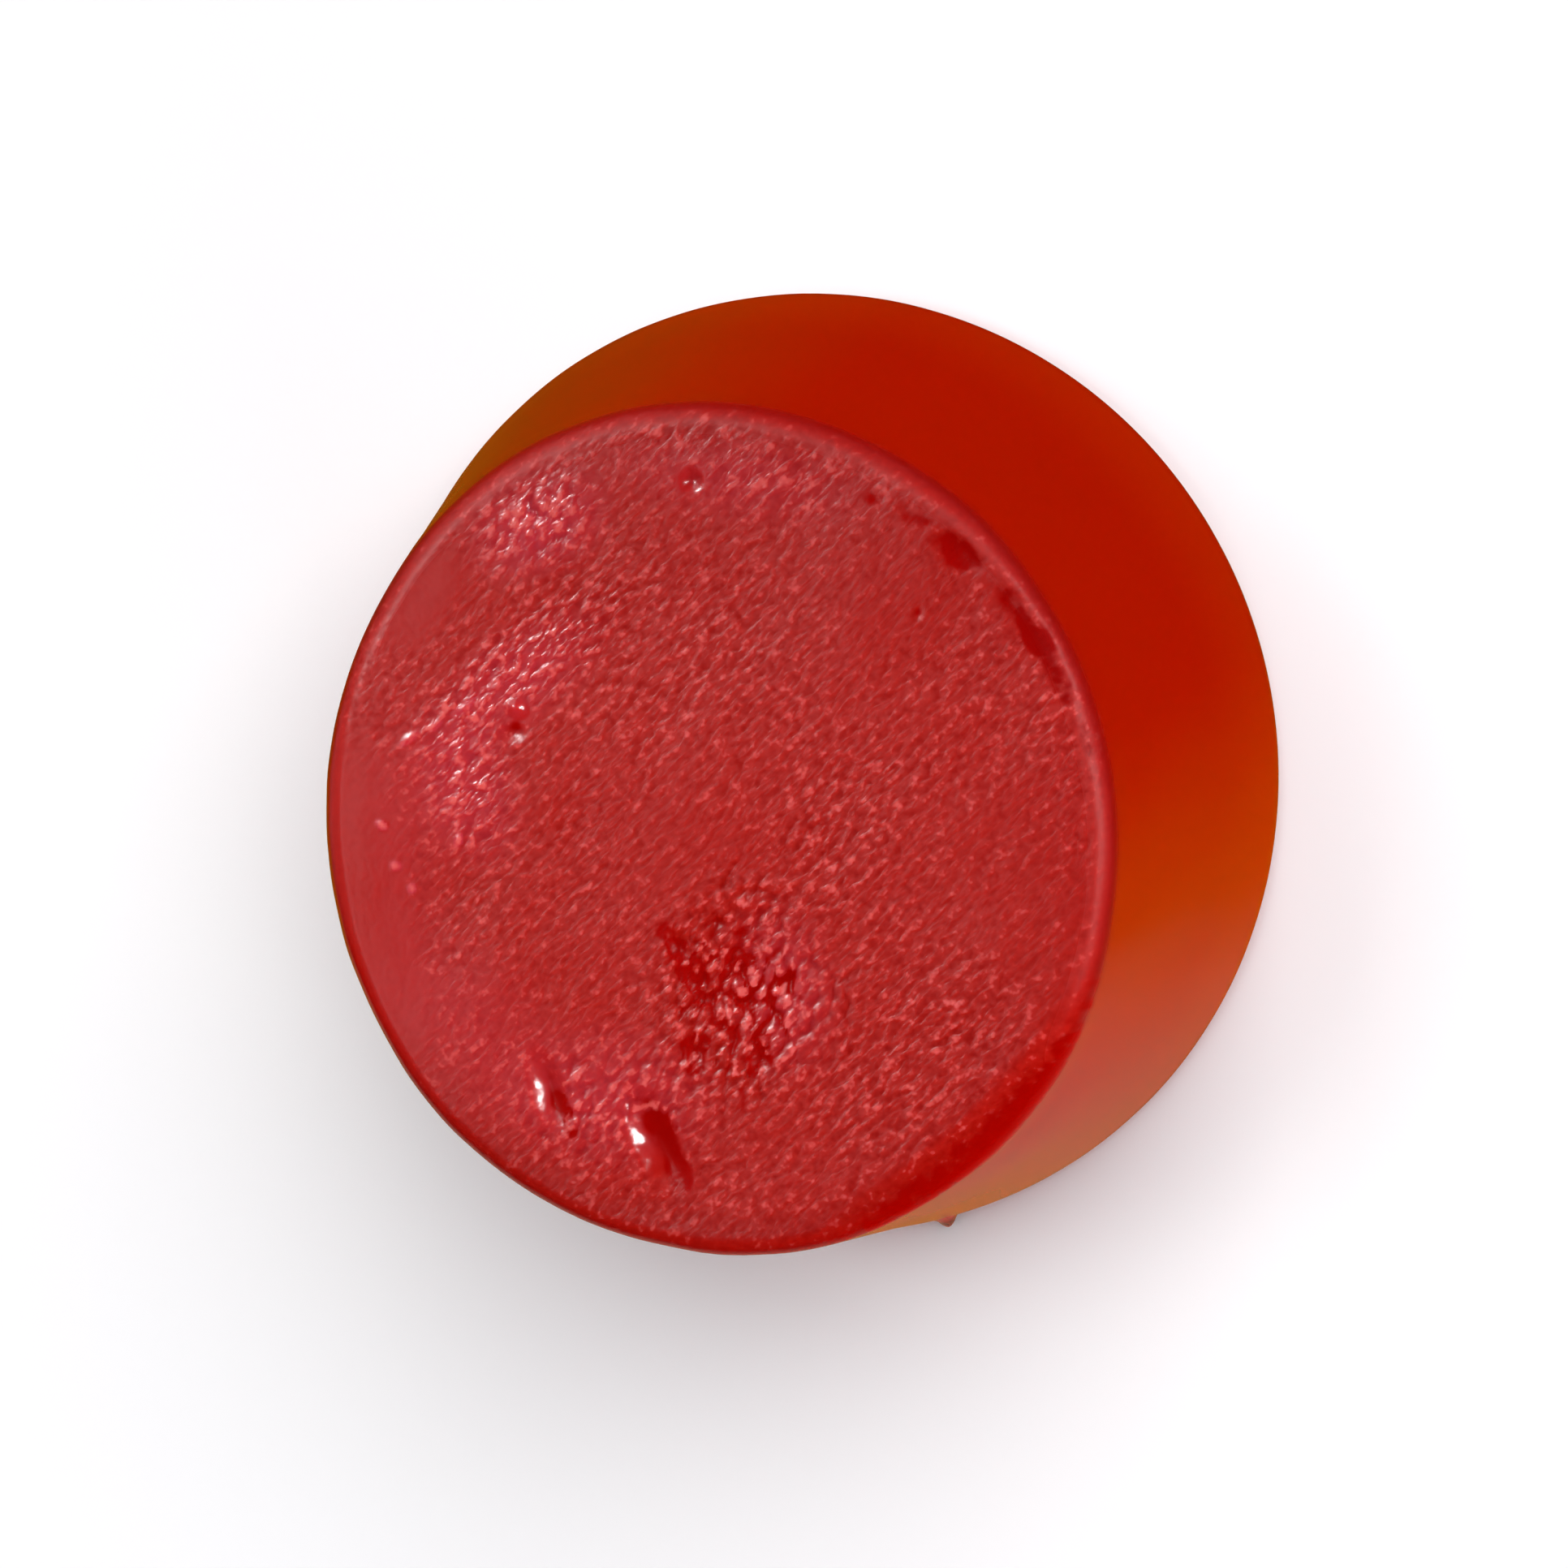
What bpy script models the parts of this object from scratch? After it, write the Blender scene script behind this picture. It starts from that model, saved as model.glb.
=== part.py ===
"""A round wine gum: one solid, tapered disc of fruit gum, cast in a starch mould and turned out.

Metres, +Z up. The gum lies on its wide back, which is flat at z = 0, and shows its smaller moulded
face. The origin is the middle of the back. Seen from above with +Y up, the two press dents of the
face are at the lower left.
"""

import math

import bpy
from mathutils import Vector, noise

MM = 0.001

# The moulded disc, as its sharp corners would be before they are rounded
BACK_DIAMETER = 22.4 * MM
FACE_DIAMETER = 18.4 * MM
THICKNESS = 10.3 * MM
FACE_EDGE_RADIUS = 0.5 * MM
BACK_EDGE_RADIUS = 0.5 * MM

# How far the soft gum has gone out of true
FACE_OVAL_SHARE = 0.028  # longer along Y, shorter along X
BACK_OVAL_SHARE = 0.009
WALL_WAVE = 0.07 * MM
WALL_WAVE_LENGTH = 7.0 * MM
FACE_SAG = 0.12 * MM  # the face is lowest at its middle
FACE_WAVE = 0.06 * MM
FACE_WAVE_LENGTH = 4.5 * MM

# Marks pressed into the face: middle (x, y), length, width, turn from +X, depth
PRESS_MARKS = {
    "left dent": ((-3.75 * MM, -5.9 * MM), 2.4 * MM, 0.95 * MM, math.radians(108), 0.13 * MM),
    "right dent": ((-1.28 * MM, -6.92 * MM), 3.2 * MM, 1.3 * MM, math.radians(115), 0.18 * MM),
    "torn patch": ((0.6 * MM, -3.2 * MM), 4.8 * MM, 3.6 * MM, math.radians(100), 0.10 * MM),
}

# Marks along the edge of the face, in the same order, with their middles as (turn from +X, radius)
EDGE_MARKS = {
    "worn shoulder": ((math.radians(-44), 9.35 * MM), 10.8 * MM, 2.3 * MM, 0.0, 0.34 * MM),
    "large hollow": ((math.radians(49.5), 8.45 * MM), 1.7 * MM, 0.9 * MM, 0.0, 0.05 * MM),
    "long hollow": ((math.radians(31.5), 8.65 * MM), 2.0 * MM, 0.8 * MM, 0.0, 0.05 * MM),
}
EDGE_DROP = 3.0 * MM  # how far down the wall a sunken edge is taken up

# How finely the disc is turned
SEGMENTS = 108
FACE_RING_GAP = 0.35 * MM
WALL_RINGS = 8
EDGE_STEPS = 5
MERGE_GAP = 0.001 * MM

GUM_RED = "#B0201A"
GUM_ROUGHNESS = 0.38
LIGHT_REACH = 2.0 * MM


def linear_from_hex(text):
    """The linear colour, with alpha, of an sRGB hex value such as #B0201A."""
    channels = [int(text[i : i + 2], 16) / 255 for i in (1, 3, 5)]
    linear = [c / 12.92 if c <= 0.04045 else ((c + 0.055) / 1.055) ** 2.4 for c in channels]
    return (*linear, 1.0)


def smooth_step(low, high, value):
    """0 below low, 1 above high, and a smooth rise between them."""
    share = min(max((value - low) / (high - low), 0.0), 1.0)
    return share * share * (3 - 2 * share)


def rounded_corner(before, corner, after, radius):
    """Points on the arc that rounds a corner of the section, from the side of before to that of after."""
    back = (before - corner).normalized()
    ahead = (after - corner).normalized()
    half_angle = back.angle(ahead) / 2
    middle = corner + (back + ahead).normalized() * radius / math.sin(half_angle)
    first = (corner + back * radius / math.tan(half_angle) - middle).normalized()
    last = (corner + ahead * radius / math.tan(half_angle) - middle).normalized()
    return [middle + radius * first.slerp(last, step / EDGE_STEPS) for step in range(EDGE_STEPS + 1)]


def evenly_between(start, end, count):
    """The points that cut a straight run into count parts, without its two ends."""
    return [start.lerp(end, step / count) for step in range(1, count)]


def section_of_disc():
    """The half section at +X, from the middle of the face, down the outer side, to the middle of the back."""
    face_middle = Vector((0.0, THICKNESS))
    face_corner = Vector((FACE_DIAMETER / 2, THICKNESS))
    back_corner = Vector((BACK_DIAMETER / 2, 0.0))
    back_middle = Vector((0.0, 0.0))
    face_edge = rounded_corner(face_middle, face_corner, back_corner, FACE_EDGE_RADIUS)
    back_edge = rounded_corner(face_corner, back_corner, back_middle, BACK_EDGE_RADIUS)
    face_rings = round(face_edge[0].x / FACE_RING_GAP)
    return [
        face_middle,
        *evenly_between(face_middle, face_edge[0], face_rings),
        *face_edge,
        *evenly_between(face_edge[-1], back_edge[0], WALL_RINGS),
        *back_edge,
        back_middle,
    ]


def turned_mesh(section):
    """The section turned once round Z by a Screw modifier, as a plain closed mesh."""
    profile = bpy.data.meshes.new("gum_section")
    edges = [(i, i + 1) for i in range(len(section) - 1)]
    profile.from_pydata([(point.x, 0.0, point.y) for point in section], edges, [])
    blank = bpy.data.objects.new("gum_blank", profile)
    bpy.context.scene.collection.objects.link(blank)
    screw = blank.modifiers.new("Turn", "SCREW")
    screw.axis = "Z"
    screw.steps = SEGMENTS
    screw.render_steps = SEGMENTS
    screw.use_merge_vertices = True
    screw.merge_threshold = MERGE_GAP
    turned = blank.evaluated_get(bpy.context.evaluated_depsgraph_get())
    mesh = bpy.data.meshes.new_from_object(turned)
    bpy.data.objects.remove(blank)
    bpy.data.meshes.remove(profile)
    return mesh


def marks_depth(marks, x, y):
    """How deep a table's marks go at a place. Each is an oval hollow, deepest at its middle."""
    depth = 0.0
    for (middle_x, middle_y), length, width, turn, full_depth in marks:
        along = (x - middle_x) * math.cos(turn) + (y - middle_y) * math.sin(turn)
        across = (y - middle_y) * math.cos(turn) - (x - middle_x) * math.sin(turn)
        reach = math.hypot(along / (length / 2), across / (width / 2))
        depth += full_depth * (1 - smooth_step(0.0, 1.0, reach))
    return depth


def edge_marks_depth(x, y):
    """How deep the edge marks go, measured along the edge of the face and across it."""
    arc = FACE_DIAMETER / 2
    marks = [((turn * arc, radius), *others) for (turn, radius), *others in EDGE_MARKS.values()]
    return marks_depth(marks, math.atan2(y, x) * arc, math.hypot(x, y))


def out_of_true(point):
    """Where a point of the true disc lies on the soft, slightly uneven gum."""
    radius = math.hypot(point.x, point.y)
    swell = 1.0
    if radius > MERGE_GAP:
        swell += WALL_WAVE * noise.noise(point / WALL_WAVE_LENGTH) / (BACK_DIAMETER / 2)
    oval = BACK_OVAL_SHARE + (FACE_OVAL_SHARE - BACK_OVAL_SHARE) * point.z / THICKNESS
    x = point.x * swell * (1 - oval)
    y = point.y * swell * (1 + oval)
    sag = FACE_SAG * (1 - (radius / (FACE_DIAMETER / 2)) ** 2)
    ripple = FACE_WAVE * noise.noise(Vector((x, y, THICKNESS)) / FACE_WAVE_LENGTH)
    depth = sag + ripple + marks_depth(PRESS_MARKS.values(), x, y) + edge_marks_depth(x, y)
    edge_foot = THICKNESS - FACE_EDGE_RADIUS
    sinking = smooth_step(edge_foot - EDGE_DROP, edge_foot, point.z)
    return Vector((x, y, point.z - sinking * depth))


def centred_on_back(points):
    """The points moved level, so that the middle of the gum's outline is over the origin."""
    middle_x = (min(point.x for point in points) + max(point.x for point in points)) / 2
    middle_y = (min(point.y for point in points) + max(point.y for point in points)) / 2
    return [point - Vector((middle_x, middle_y, 0.0)) for point in points]


def gum_material():
    """Red fruit gum: light goes a few millimetres into it, and its waxed skin has a soft gloss."""
    material = bpy.data.materials.new("red_fruit_gum")
    material.use_nodes = True
    shader = material.node_tree.nodes["Principled BSDF"]
    shader.inputs["Base Color"].default_value = linear_from_hex(GUM_RED)
    shader.inputs["Metallic"].default_value = 0.0
    shader.inputs["Roughness"].default_value = GUM_ROUGHNESS
    shader.inputs["Subsurface Weight"].default_value = 1.0
    shader.inputs["Subsurface Scale"].default_value = LIGHT_REACH
    return material


def make_gum(collection):
    """The whole gum, as one solid."""
    mesh = turned_mesh(section_of_disc())
    mesh.name = "wine_gum"
    moved = centred_on_back([out_of_true(vertex.co) for vertex in mesh.vertices])
    for vertex, point in zip(mesh.vertices, moved):
        vertex.co = point
    mesh.shade_smooth()
    mesh.set_sharp_from_angle(angle=math.radians(50))
    mesh.materials.clear()
    mesh.materials.append(gum_material())
    gum = bpy.data.objects.new("wine_gum", mesh)
    collection.objects.link(gum)
    return gum


def main():
    for old in list(bpy.data.objects):
        bpy.data.objects.remove(old)
    collection = bpy.data.collections.new("wine_gum")
    bpy.context.scene.collection.children.link(collection)
    make_gum(collection)


main()
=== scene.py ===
"""The looks of a round red wine gum: a tapered disc of clear fruit gum, cast in starch and turned out.

Metres, +Z up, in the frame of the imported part. The gum lies on its back with the moulded face up, and
+Y is up on that face. Geometry Nodes cast the body from its section and crease its skin.
"""

import math

import bpy
from mathutils import Matrix, Vector


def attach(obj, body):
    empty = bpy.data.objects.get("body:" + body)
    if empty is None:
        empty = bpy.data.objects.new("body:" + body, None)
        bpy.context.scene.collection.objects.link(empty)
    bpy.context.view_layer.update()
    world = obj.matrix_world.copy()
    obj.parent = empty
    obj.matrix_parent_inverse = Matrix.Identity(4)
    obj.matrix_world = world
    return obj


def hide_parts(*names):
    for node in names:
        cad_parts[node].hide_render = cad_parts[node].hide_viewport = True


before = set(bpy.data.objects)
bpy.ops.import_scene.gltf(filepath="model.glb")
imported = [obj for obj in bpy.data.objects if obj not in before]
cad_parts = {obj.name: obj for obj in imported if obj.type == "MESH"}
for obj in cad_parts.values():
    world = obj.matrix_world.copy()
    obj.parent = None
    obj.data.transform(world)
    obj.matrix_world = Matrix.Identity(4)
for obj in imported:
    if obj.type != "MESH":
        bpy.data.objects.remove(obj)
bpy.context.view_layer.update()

MM = 0.001
NODE = "wine_gum"

# The moulded disc, as its sharp corners would be before they are rounded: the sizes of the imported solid
BACK_DIAMETER = 22.4 * MM
FACE_DIAMETER = 18.4 * MM
THICKNESS = 10.3 * MM
FACE_EDGE_RADIUS = 0.5 * MM
BACK_EDGE_RADIUS = 0.5 * MM
FACE_OVAL_SHARE = 0.028  # longer along Y, shorter along X
BACK_OVAL_SHARE = 0.009

# Marks in the soft face, in millimetres and degrees: middle (x, y), length, width, turn from +X, and
# depth, or a rise where it is below 0
PRESS_MARKS = {
    "left dent": ((-3.75, -5.9), 2.4, 0.95, 108, 0.13),
    "right dent": ((-1.28, -6.92), 3.2, 1.3, 115, 0.18),
    "torn patch": ((0.6, -3.2), 4.8, 3.6, 100, 0.06),
    "torn pit 1": ((-0.75, -2.5), 1.1, 0.55, 120, 0.06),
    "torn pit 2": ((-0.25, -3.4), 1.6, 0.6, 123, 0.07),
    "torn pit 3": ((0.6, -3.0), 0.7, 0.6, 0, 0.06),
    "torn pit 4": ((1.7, -3.2), 0.8, 0.6, 0, 0.06),
    "torn pit 5": ((-0.35, -4.9), 1.1, 0.6, 95, 0.07),
    "torn pit 6": ((1.1, -4.9), 1.3, 0.65, 105, 0.07),
    "top pit": ((-0.40, 7.86), 0.65, 0.55, 100, 0.085),
    "left dash 1": ((-6.95, 1.90), 0.60, 0.24, 45, -0.03),
    "left dash 2": ((-5.70, 2.65), 0.70, 0.26, 42, -0.03),
    "left dash 3": ((-6.35, 2.25), 0.45, 0.22, 45, -0.025),
    "left pit": ((-4.56, 2.12), 0.7, 0.5, 20, 0.05),
    "left bead": ((-4.50, 2.66), 0.6, 0.55, 0, -0.09),
    "low bead 1": ((-7.58, -0.10), 0.36, 0.30, 0, -0.02),
    "low bead 2": ((-5.80, -0.35), 0.36, 0.40, 0, -0.03),
    "low bead 3": ((-7.25, -0.96), 0.34, 0.30, 0, -0.01),
    "low bead 4": ((-6.90, -1.45), 0.34, 0.30, 0, -0.01),
    "right pit": ((4.6, 5.1), 0.45, 0.3, 75, 0.02),
}

# Marks along the edge of the face, in the same order, with their middles as (angle from +X, radius)
EDGE_MARKS = {
    "worn shoulder": ((-44, 9.35), 10.8, 2.3, 0, 0.34),
    "lip": ((42, 9.0), 8.0, 0.9, 0, -0.05),
    "hollow 1": ((64, 8.45), 0.8, 0.5, 0, 0.012),
    "hollow 2": ((58.5, 8.50), 1.3, 0.5, 0, 0.015),
    "hollow 3": ((49.5, 8.45), 1.7, 0.9, 0, 0.04),
    "hollow 4": ((39, 8.65), 1.3, 0.6, 0, 0.02),
    "hollow 5": ((31.5, 8.65), 2.0, 0.8, 0, 0.035),
    "hollow 6": ((25, 8.65), 1.4, 0.6, 0, 0.025),
    "hollow 7": ((17, 8.72), 1.6, 0.4, 0, 0.01),
}

# Painted shade: places painted darker red, in the dents, pits and torn patch, in the same order, with a
# share instead of a depth
DEEP_SHADE_PLACES = {
    "right dent": ((-1.18, -6.75), 3.2, 1.10, 117, 1.3),
    "left dent": ((-3.50, -6.25), 2.2, 0.6, 114, 1.3),
    "right dent end": ((-0.78, -7.65), 1.5, 0.95, 115, 1.5),
    "torn patch": ((0.6, -3.5), 6.0, 4.4, 100, 0.45),
    "torn streak": ((-0.65, -2.85), 2.8, 0.85, 123, 1.8),
    "torn blot 1": ((0.55, -2.94), 1.2, 0.9, 0, 1.5),
    "torn blot 2": ((1.67, -3.17), 0.9, 0.7, 0, 0.9),
    "torn blot 3": ((-0.39, -4.94), 1.4, 0.8, 95, 1.5),
    "torn blot 4": ((1.05, -4.83), 1.6, 0.9, 105, 1.6),
    "torn blot 5": ((0.7, -5.9), 1.2, 0.7, 100, 0.5),
    "top pit": ((-0.22, 7.88), 0.6, 0.5, 100, 1.0),
    "left pit": ((-4.56, 2.25), 0.6, 0.4, 20, 1.0),
    "right pit": ((4.6, 5.1), 0.5, 0.3, 75, 1.0),
}
# The same painted shade along the edge of the face, on the worn shoulder and in the hollows, as for its
# marks
EDGE_DEEP_SHADE_PLACES = {
    "worn shoulder": ((-44, 9.35), 12.6, 2.3, 0, 1.9),
    "hollow 1": ((64, 8.42), 1.0, 0.55, 0, 1.1),
    "hollow 2": ((57.5, 8.50), 1.8, 0.6, 0, 0.9),
    "hollow 3": ((49.5, 8.44), 1.9, 1.1, 0, 1.8),
    "hollow 4": ((39.0, 8.62), 1.9, 0.8, 0, 1.1),
    "hollow 5": ((31.8, 8.58), 1.9, 0.95, 0, 1.7),
    "hollow 6": ((25, 8.62), 1.7, 0.7, 0, 1.2),
    "hollow 7": ((17, 8.70), 1.6, 0.45, 0, 0.7),
}

# Places where the skin is grained more than elsewhere, or less where the gain is below 0
GRAINED_PLACES = {
    "left band": ((-4.5, 3.5), 7.5, 2.4, 38, 1.5),
    "left patch": ((-5.6, 1.0), 4.2, 2.6, 105, 1.4),
    "top left": ((-3.9, 6.9), 3.6, 2.4, 25, 1.4),
    "top": ((1.0, 8.0), 5.5, 1.8, -8, 0.4),
    "top rim": ((-1.0, 8.9), 9.0, 1.2, 5, 0.5),
    "middle": ((3.0, 0.5), 10.0, 5.0, 60, 0.25),
    "torn patch": ((0.5, -3.6), 6.8, 5.0, 95, 0.9),
    "dents": ((-2.6, -6.2), 6.5, 4.0, 0, 0.6),
    "lower right": ((4.8, -4.6), 9.0, 4.6, 46, 0.3),
    "edge hollows": ((6.6, 5.4), 7.0, 1.4, 128, -0.2),
    "right dent skin": ((-1.4, -7.05), 2.1, 1.2, 115, -1.5),
    "left dent skin": ((-3.8, -5.95), 1.9, 0.9, 108, -1.3),
    "left bead skin": ((-4.45, 2.6), 1.0, 0.9, 0, -1.6),
    "top pit skin": ((-0.45, 7.86), 0.9, 0.9, 0, -1.2),
    "smooth left": ((-8.3, -2.0), 12.5, 4.3, 103, -1.0),
    "smooth right rim": ((9.0, 0.5), 9.0, 1.5, 90, -0.3),
    "smooth upper left": ((-6.6, 4.9), 4.6, 2.0, 52, -0.7),
}

# Places where the skin is crumpled, in the same order, with a gain instead of a depth
CRUMPLED_PLACES = {
    "left band": ((-5.2, 2.9), 5.5, 1.6, 38, 0.5),
    "left patch": ((-5.6, 0.9), 3.4, 2.0, 100, 0.65),
    "top left": ((-3.8, 6.9), 3.4, 2.2, 25, 1.4),
    "torn patch": ((0.55, -3.5), 6.4, 4.8, 95, 1.5),
    "right of torn patch": ((2.3, -3.7), 3.6, 3.2, 0, 0.8),
    "above torn patch": ((0.9, -1.3), 2.4, 2.2, 0, 0.6),
    "below torn patch": ((-0.6, -5.3), 3.4, 2.6, 0, 0.6),
    "dents": ((-2.6, -6.3), 5.4, 3.8, 0, 0.8),
    "right dent skin": ((-1.45, -7.0), 2.3, 1.3, 115, -1.5),
    "left dent skin": ((-3.85, -5.95), 2.2, 1.1, 108, -1.5),
    "left bead skin": ((-4.45, 2.6), 1.0, 0.9, 0, -1.5),
}

# Painted sheen: places painted paler and pinker, with painted highlights on the dashes and beads, with a
# gain instead of a depth
PAINTED_SHEEN_PLACES = {
    "left band": ((-4.6, 3.2), 7.0, 2.8, 38, 0.9),
    "left patch": ((-5.6, 0.8), 4.6, 3.2, 105, 0.9),
    "left side": ((-7.0, 0.2), 8.0, 3.4, 90, 0.25),
    "top left": ((-3.9, 6.8), 4.4, 3.0, 25, 1.4),
    "lower left": ((-5.6, -4.6), 8.0, 4.6, 130, 0.35),
    "top": ((0.6, 7.9), 7.5, 2.6, -5, 0.55),
    "dents": ((-2.5, -6.0), 6.5, 4.4, 0, 0.7),
    "torn patch": ((1.6, -3.4), 3.4, 5.0, 10, 0.6),
    "left dash 1": ((-6.95, 1.90), 0.70, 0.26, 45, 3.4),
    "left dash 2": ((-5.70, 2.65), 0.80, 0.28, 42, 3.4),
    "left dash 3": ((-6.35, 2.25), 0.50, 0.24, 45, 2.8),
    "low bead 1": ((-7.58, -0.10), 0.40, 0.26, 150, 4.5),
    "low bead 2": ((-5.80, -0.35), 0.44, 0.26, 75, 4.5),
    "low bead 3": ((-7.25, -0.96), 0.34, 0.30, 0, 3.4),
    "low bead 4": ((-6.90, -1.45), 0.34, 0.30, 0, 3.2),
}

# A small nub on the back edge, coloured dark brown
NUB_ANGLE = -74  # degrees from +X
NUB_HEIGHT = 0.2 * MM
NUB_LENGTH = 0.9 * MM
NUB_WIDTH = 1.2 * MM
NUB_REACH = 0.38 * MM

# How the skin's relief spreads and fades
NOISE_SPREAD = (0.35, 0.65)  # nearly all values of a noise lie between these
ROLL_SHARES = (0.86, 0.97)  # of the face's radius, between which its edge rolls down
PATCHY_GRAIN = (0.30, 0.60)  # strength of the grain away from the places in the table
LUMP_FALL = 2.2  # how steeply a lump of crumpled skin falls away from its top
LUMP_TOP = 0.36
LUMP_HEIGHTS = (0.3, 1.7)  # the lowest lump and the tallest, as shares of the common height
TORN_SHARES = (0.35, 1.5)  # how far noise weakens and strengthens a place of painted deep shade
DEEP_SHADE_FADE = 0.12 * MM  # the height above the wall over which the painted deep shade sets in
WALL_WAVE_ENDS = (0.2 * MM, 1.5 * MM)  # heights between which the waves of the wall set in

# What the relief stores along the skin for the finish to read
SKIN_ATTRIBUTES = ("face", "grain", "lump", "painted_sheen", "deep", "nub")

# How many rings of the cast body lie on each stretch of its section
FACE_RINGS = 132
FACE_EDGE_RINGS = 8
WALL_RING_SHARES = (0.025, 0.05, 0.10, 0.25, 0.45, 0.65, 0.82, 0.90, 0.94, 0.97)  # of the way down the wall
BACK_EDGE_RINGS = 3
BACK_RING_SHARES = (0.01, 0.04)  # of the way from the back edge to the middle of the back
MERGE_GAP = 0.001 * MM

# Colours
FACE_DARK_AND_SHADE = "#980803"  # in the valleys of the face's skin: its deeper red, with painted shade
FACE_RED_AND_LIGHT = "#C81D12"  # on its ridges and lumps: its paler red, with painted light
FLECK_PAINTED_LIGHT = "#E4625E"  # painted light on the highest of them
PAINTED_SHEEN_PINK = "#D8485C"  # painted sheen, where the skin is painted paler and pinker
WALL_RED = "#A41000"
# Painted glow at the foot of the wall, where light through the thin gum would shine
WALL_FOOT_PAINTED_GLOW = "#AA1D00"
# Painted shade at the turn of the face's edge, the lower side of its border, the top of the face and the
# rim at the right
PAINTED_EDGE_SHADE = "#860A06"
# Painted shade in the dents, pits, hollows and torn patch, and darker towards the edge of the face, on the
# worn shoulder
DEEP_SHADE_RED = "#A40402"
DEEP_SHADE_EDGE_RED = "#940200"
NUB_BROWN = "#5A2408"
CARD_WHITE = "#FCFCFC"

# The print that the starch mould leaves, which is finer than the relief
PRINT_SIZE = (0.34 * MM, 0.17 * MM, 0.2 * MM)  # length, width and height of a ridge
PRINT_TURN = math.radians(44)
PRINT_HEIGHT = 0.0085 * MM
MOTTLE_SIZE = 0.16 * MM
MOTTLE_SHARE = 0.35  # of the height of a ridge
RIDGE_SPREAD = (0.36, 0.74)  # the print's noise at the foot and the top of a ridge
TONE_SPREAD = (0.34, 0.70)  # and where it is darkest and palest
MOTTLE_SPREAD = (0.25, 0.75)

# How far each thing lightens or darkens the face, with painted light and shade on its relief, painted sheen
# and a random mottle: its tone goes from -1 to 1
RIDGE_LIGHT_AND_SHADE = 0.85
MOTTLE_TONE = 0.45
PAINTED_SHEEN_TONE = 0.25
TONED_GRAIN_LIMIT = 0.9  # stronger grain tones the face no further
MOTTLE_BY_GRAIN = (0.05, 0.45, 0.3, 1.0)  # smooth skin, with weak grain, has less of the mottle's tone
PAINTED_FLECK_TONES = (0.62, 1.05)  # flecks of painted light show between these, once the tone goes from 0 to 1
PAINTED_SHEEN_SHARE, PAINTED_SHEEN_LIMIT = 0.35, 0.45
LUMP_OUT_OF_DEEP_SHADE = 3.5  # how strongly a lump stands out of a place of painted deep shade
DEEP_SHADE_SPREAD = (0.1, 0.9)  # a place's share of painted deep shade, where its colour sets in and is whole
NUB_BROWN_SPREAD = (0.15, 0.55)  # the same for the nub

# Where the painted glow and the painted shade set in: heights, radii, and places along Y or, for the right
# side, along a slant
PAINTED_FOOT_GLOW_HEIGHT = 4.5 * MM
BORDER_RADII = (7.8 * MM, 9.2 * MM)
RIM_RADII = (8.6 * MM, 8.95 * MM)
LOW_SIDE = (-4.0 * MM, -7.5 * MM)
TOP_SIDE = (3.0 * MM, 9.0 * MM)
RIGHT_SIDE = (-1.5 * MM, 1.5 * MM)
RIGHT_SLANT = 0.5
# How much painted shade darkens each of these
PAINTED_DARKENING = {"turn": 3.4, "low side": 0.45, "top side": 0.3, "right rim": 0.12}

# The wax: how much of the light it mirrors, by tone, and how rough it is, by grain
GLOSS_TONES = (0.1, 0.5)
ROUGHENING_GRAIN = (0.0, 0.5)
GLOSS = {"valley": 0.15, "ridge": 0.5, "wall": 0.5, "rim": 0.3, "deep": 0.05}
ROUGHNESS = {"smooth": 0.14, "grained": 0.27, "painted_sheen": 0.19, "wall": 0.2, "rim": 0.48}

# The gum under it
GUM_BODY = {
    "IOR": 1.45,
    "Subsurface Weight": 1.0,
    "Subsurface Radius": (1.0, 0.25, 0.15),  # red light goes furthest
    "Subsurface Scale": 1.2 * MM,
}

# Lamps: degrees from +Z and from +X, distance, width and height in metres, and watts
LAMPS = {
    "key_softbox": (42, 64, 0.50, 0.50, 0.50, 2.88),
    "upper_left_panel": (31, 162, 0.50, 0.16, 0.16, 0.45),
    "sheen_panel": (52, 140, 0.50, 0.36, 0.36, 0.6),
    "spark_lamp": (31, 160, 0.50, 0.06, 0.06, 0.65),
    "glint_lamp": (27, 2, 0.50, 0.08, 0.08, 1.6),
    "low_strip": (84, -52, 0.25, 0.25, 0.05, 0.58),
}
NOT_MIRRORED = ("key_softbox", "low_strip")
ONLY_MIRRORED = ("sheen_panel", "spark_lamp", "glint_lamp")

# The room: the axis along which each part of it sets in, from where to where, and its strengths there
ROOM_PARTS = {
    "left": ("X", -0.08, -0.345, 0.0, 1.0, "LINEAR"),
    "far left": ("X", -0.38, -0.54, 1.35, 0.4, "SMOOTHSTEP"),
    "back": ("Y", -0.39, -0.16, 0.0, 1.0, "SMOOTHSTEP"),
    "over floor": ("Z", 0.05, 0.30, 0.0, 1.0, "SMOOTHSTEP"),
    "near": ("Y", 0.05, -0.42, 0.02, 0.52, "LINEAR"),
    "near pink": ("Y", -0.30, -0.50, 0.0, 1.0, "LINEAR"),
    "ground": ("Z", -0.05, -0.25, 0.0, 1.0, "LINEAR"),
    "left ground": ("X", -0.10, -0.45, 0.0, 0.14, "LINEAR"),
}
CEILING_POWER = 3.0  # how steeply the ceiling pales to the left
CEILING_SLANT = -0.6  # how much lower it comes down there
CEILING_HEIGHTS = (0.3, 0.7)
RIGHT_WAY = (0.9, 0.45)  # the shares of X and Y in the way to the right wall
RIGHT_WALL = (0.35, 0.65, 0.0, 0.4)  # from where to where it sets in, and its strengths there
ROOM_WHITE = "#FBFAFF"
ROOM_VIOLET = "#B8A0F0"  # the wall at the right
GROUND_AMBER = "#FFBC1A"
GROUND_PINK = "#FFC8B0"
SEEN_STRENGTH = 0.95  # of the room behind the floor, as the camera sees it

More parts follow.
